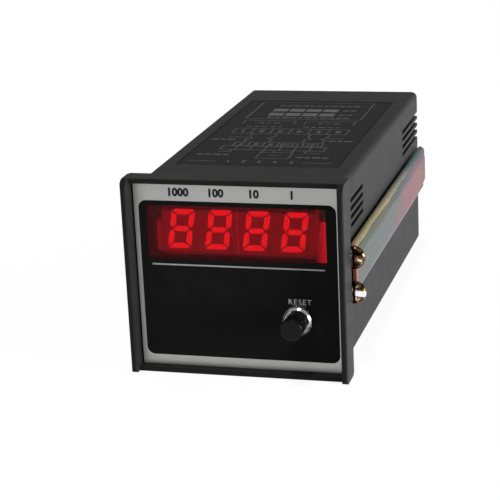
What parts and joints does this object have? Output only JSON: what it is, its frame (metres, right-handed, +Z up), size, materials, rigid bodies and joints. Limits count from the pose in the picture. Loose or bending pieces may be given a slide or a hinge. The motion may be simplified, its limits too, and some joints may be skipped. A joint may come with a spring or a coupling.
{
  "type": "panel counter",
  "caption": "Panel-mount electronic counter with a red digit display, a reset button and a deep vented case clamped behind the panel by side brackets.",
  "frame": {"origin": "middle of the bezel's rear face, on the plane of the panel's front surface", "axes": "+X to the right seen from the front, +Y from the front to the rear, +Z up"},
  "size_m": [0.0792, 0.1643, 0.065],
  "materials": {
    "case_plastic": "fine moulded grain, dark grey",
    "bezel_plastic": "satin black",
    "silver_plate": "silver with a gloss black printed field",
    "red_filter": "clear red, polished",
    "holder_plastic": "pale moulded",
    "module_plastic": "dull red face",
    "segment_red": "lit red",
    "tinned_pins": "tinned",
    "circuit_board": "green lacquer",
    "brass_pins": "bright",
    "chip_plastic": "black moulded",
    "network_coat": "dipped red-brown",
    "capacitor_sleeve": "dark blue sleeve",
    "sink_metal": "black anodised",
    "core_steel": "varnished sheets",
    "coil_tape": "yellow tape",
    "block_plastic": "black moulded",
    "terminal_brass": "bright",
    "screw_nickel": "nickel plated",
    "screw_black": "black",
    "label_film": "dark film with fine grey print",
    "nut_chrome": "polished, knurled",
    "button_plastic": "gloss black",
    "bracket_zinc": "iridescent yellow-pink zinc plating",
    "clamp_zinc": "yellow zinc plating, bright"
  },
  "bodies": {
    "counter": {"case_shell": "case_plastic", "front_bezel": "bezel_plastic", "front_plate": "silver_plate", "red_window": "red_filter", "display_holder": "holder_plastic", "led_module_left": "module_plastic", "led_module_right": "module_plastic", "led_segments_left": "segment_red", "led_segments_right": "segment_red", "led_pins": "tinned_pins", "display_board": "circuit_board", "board_pins": "brass_pins", "main_board": "circuit_board", "counter_chip": "chip_plastic", "logic_chips": "chip_plastic", "driver_transistors": "chip_plastic", "resistor_networks": "network_coat", "filter_capacitors": "capacitor_sleeve", "regulator": "chip_plastic", "heat_sink": "sink_metal", "transformer_core": "core_steel", "transformer_coil": "coil_tape", "rear_board": "circuit_board", "rear_pins": "brass_pins", "rear_panel": "case_plastic", "terminal_block_upper": "block_plastic", "terminal_block_lower": "block_plastic", "terminal_plates_upper": "terminal_brass", "terminal_plates_lower": "terminal_brass", "terminal_screws_upper": "screw_nickel", "terminal_screws_lower": "screw_nickel", "rear_screws": "screw_black", "top_label": "label_film", "reset_switch": "chip_plastic", "reset_lugs": "tinned_pins", "reset_bush": "screw_nickel", "reset_nut": "nut_chrome", "reset_spring": "tinned_pins", "bracket_left": "bracket_zinc", "bracket_right": "bracket_zinc", "clamp_screws_left": "clamp_zinc", "clamp_screws_right": "clamp_zinc"},
    "button": {"reset_button": "button_plastic"}
  },
  "joints": [
    {"name": "reset_press", "type": "slide", "parent": "counter", "child": "button", "axis": [0, 1, 0], "range_m": [0, 0.0025], "stiffness_N_per_m": 500, "springref_m": -0.002}
  ]
}
